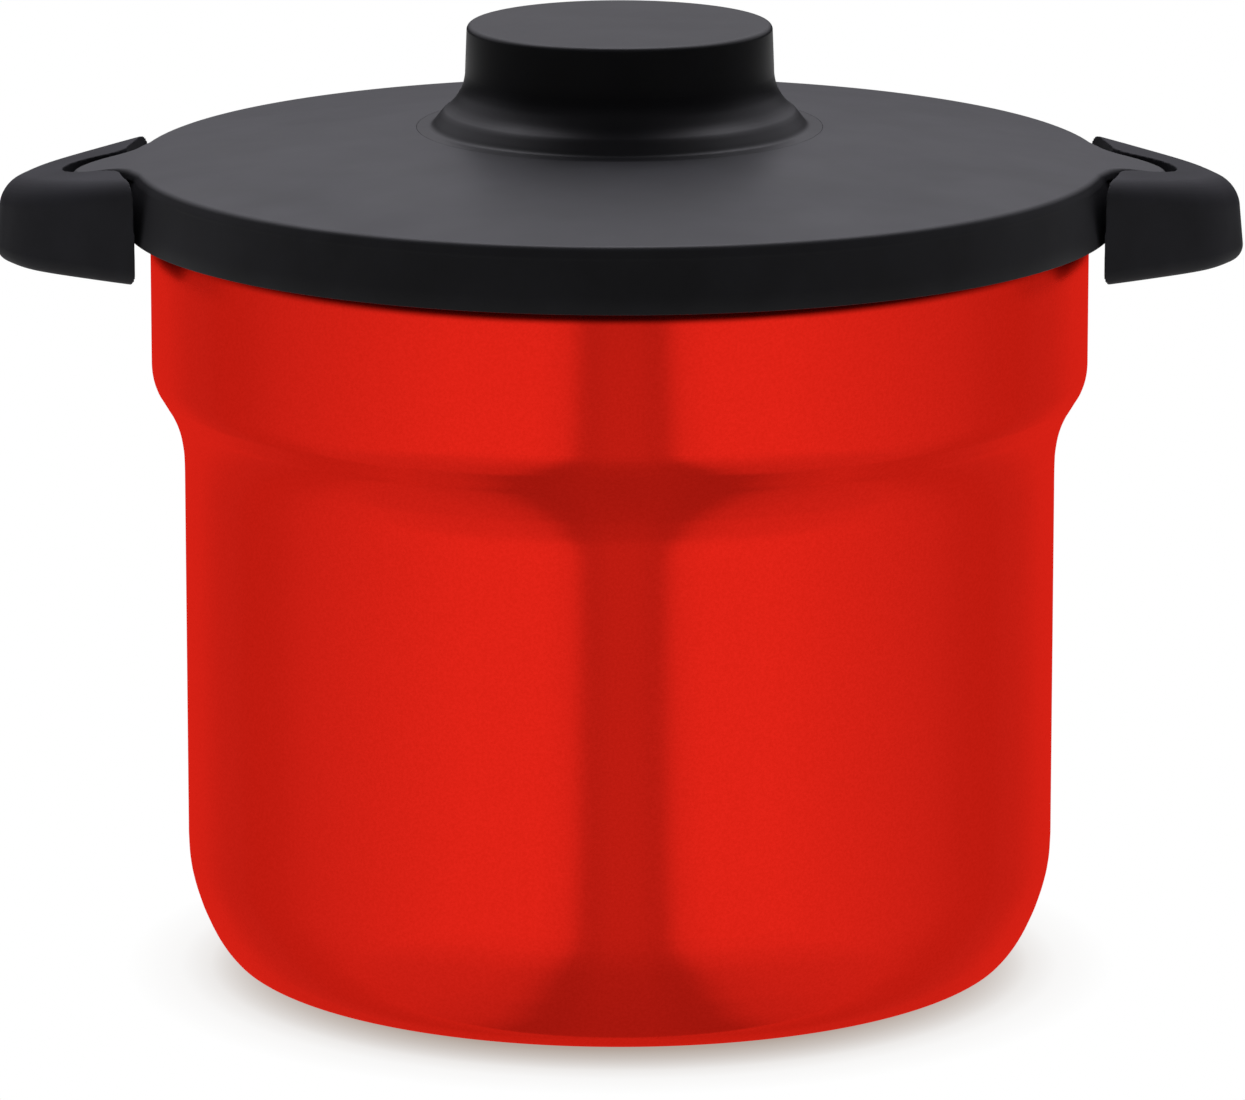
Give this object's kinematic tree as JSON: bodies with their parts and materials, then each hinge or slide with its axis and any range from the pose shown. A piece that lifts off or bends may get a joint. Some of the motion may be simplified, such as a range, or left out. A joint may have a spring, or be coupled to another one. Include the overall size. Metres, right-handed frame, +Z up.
{
  "type": "thermal cooker",
  "caption": "Vacuum thermal cooker: red steel body with a stepped shoulder, black collar and side handles, black lid with a wide knob, and an inner steel pot with bail and glass lid.",
  "frame": {"origin": "centre of the flat ring that the cooker stands on", "axes": "+Z up through the lid's knob, +X through the right handle as seen from the front, +Y to the back, away from the viewer"},
  "size_m": [0.3346, 0.266, 0.2543],
  "materials": {
    "red_paint": "glossy candy red enamel on steel, pulled smooth over the shoulder step",
    "steel": "satin stainless steel",
    "copper": "bright copper foil and pinched copper tube",
    "zinc": "bright zinc plating",
    "black_plastic": "satin black moulded polypropylene with a very fine grain",
    "grey_plastic": "satin dark grey moulded polypropylene",
    "foam": "cream foamed polyurethane",
    "silicone": "translucent pale silicone",
    "glass": "clear tempered glass"
  },
  "bodies": {
    "container": {"outer_shell": "red_paint", "inner_vessel": "steel", "radiation_foil": "copper", "outer_bottom": "steel", "vacuum_tip": "copper", "seal_cover": "black_plastic", "getter": "zinc", "collar_ring": "black_plastic", "right_handle_shell": "black_plastic", "right_handle_cover": "black_plastic", "right_cover_screw_1": "zinc", "right_cover_screw_2": "zinc", "right_root_screw_1": "zinc", "right_root_screw_2": "zinc", "left_handle_shell": "black_plastic", "left_handle_cover": "black_plastic", "left_cover_screw_1": "zinc", "left_cover_screw_2": "zinc", "left_root_screw_1": "zinc", "left_root_screw_2": "zinc"},
    "outer_lid": {"lid_top": "black_plastic", "lid_knob": "black_plastic", "lid_inner_plate": "grey_plastic", "lid_insulation": "foam", "lid_seal": "silicone", "knob_screw_1": "zinc", "knob_screw_2": "zinc", "knob_screw_3": "zinc", "plate_screw_1": "zinc", "plate_screw_2": "zinc", "plate_screw_3": "zinc"},
    "pot": {"pot_body": "steel", "pot_base": "steel", "right_bail_lug": "steel", "left_bail_lug": "steel", "lug_rivet_1": "steel", "lug_rivet_2": "steel", "lug_rivet_3": "steel", "lug_rivet_4": "steel"},
    "bail": {"bail_wire": "steel", "bail_grip": "black_plastic"},
    "pot_lid": {"pot_lid_glass": "glass", "pot_lid_band": "steel", "pot_lid_knob": "black_plastic", "pot_lid_washer": "silicone", "pot_lid_screw": "steel", "steam_vent": "steel"}
  },
  "joints": [
    {"name": "outer_lid_lift", "type": "slide", "parent": "container", "child": "outer_lid", "axis": [0, 0, 1], "range_m": [0, 0.5]},
    {"name": "pot_lift", "type": "slide", "parent": "container", "child": "pot", "axis": [0, 0, 1], "range_m": [0, 0.2]},
    {"name": "bail_swing", "type": "hinge", "parent": "pot", "child": "bail", "pos_m": [0, 0, 0.164], "axis": [1, 0, 0], "range_deg": [0, 90]},
    {"name": "pot_lid_lift", "type": "slide", "parent": "pot", "child": "pot_lid", "axis": [0, 0, 1], "range_m": [0, 0.26]}
  ],
  "couplings": [
    {"joint": "pot_lift", "follows": "outer_lid_lift", "ratio": 0.4},
    {"joint": "bail_swing", "follows": "outer_lid_lift", "rad_per_m": 3.1415},
    {"joint": "pot_lid_lift", "follows": "outer_lid_lift", "ratio": 0.52}
  ]
}
